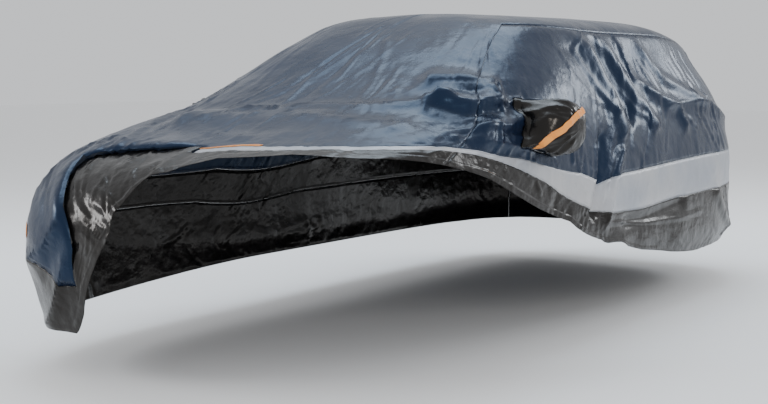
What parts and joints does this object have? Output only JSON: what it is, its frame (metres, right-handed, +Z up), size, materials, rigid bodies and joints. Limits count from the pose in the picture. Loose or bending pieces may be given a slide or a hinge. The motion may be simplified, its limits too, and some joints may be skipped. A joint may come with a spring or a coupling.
{
  "type": "car cover",
  "caption": "Fitted cloth cover draped as over a compact hatchback, with mirror pockets, a grey reflective band and a gathered hem pulled up at the front left.",
  "frame": {"origin": "just under the middle of the roof cloth, where it lies on the roof of the left-out car", "axes": "+Z up, +Y along the length to the tail (the front is towards -Y), +X to the car's left side"},
  "size_m": [2.1776, 4.4213, 1.3169],
  "materials": {
    "navy_cloth": "glossy coated cloth, very dark blue",
    "black_cloth": "glossy coated cloth, black",
    "reflective_grey": "satin reflective strip, light grey",
    "orange_trim": "matt ribbed strip, orange"
  },
  "bodies": {
    "root": {"centre_panel": "navy_cloth", "left_side_panel": "navy_cloth", "right_side_panel": "navy_cloth", "left_band": "reflective_grey", "right_band": "reflective_grey", "rear_band": "reflective_grey", "front_skirt": "black_cloth", "left_skirt": "black_cloth", "right_skirt": "black_cloth", "rear_skirt": "black_cloth", "left_mirror_pocket": "black_cloth", "right_mirror_pocket": "black_cloth", "left_pocket_strip": "orange_trim", "right_pocket_strip": "orange_trim", "hood_strip": "orange_trim", "corner_strip": "orange_trim"}
  },
  "joints": []
}
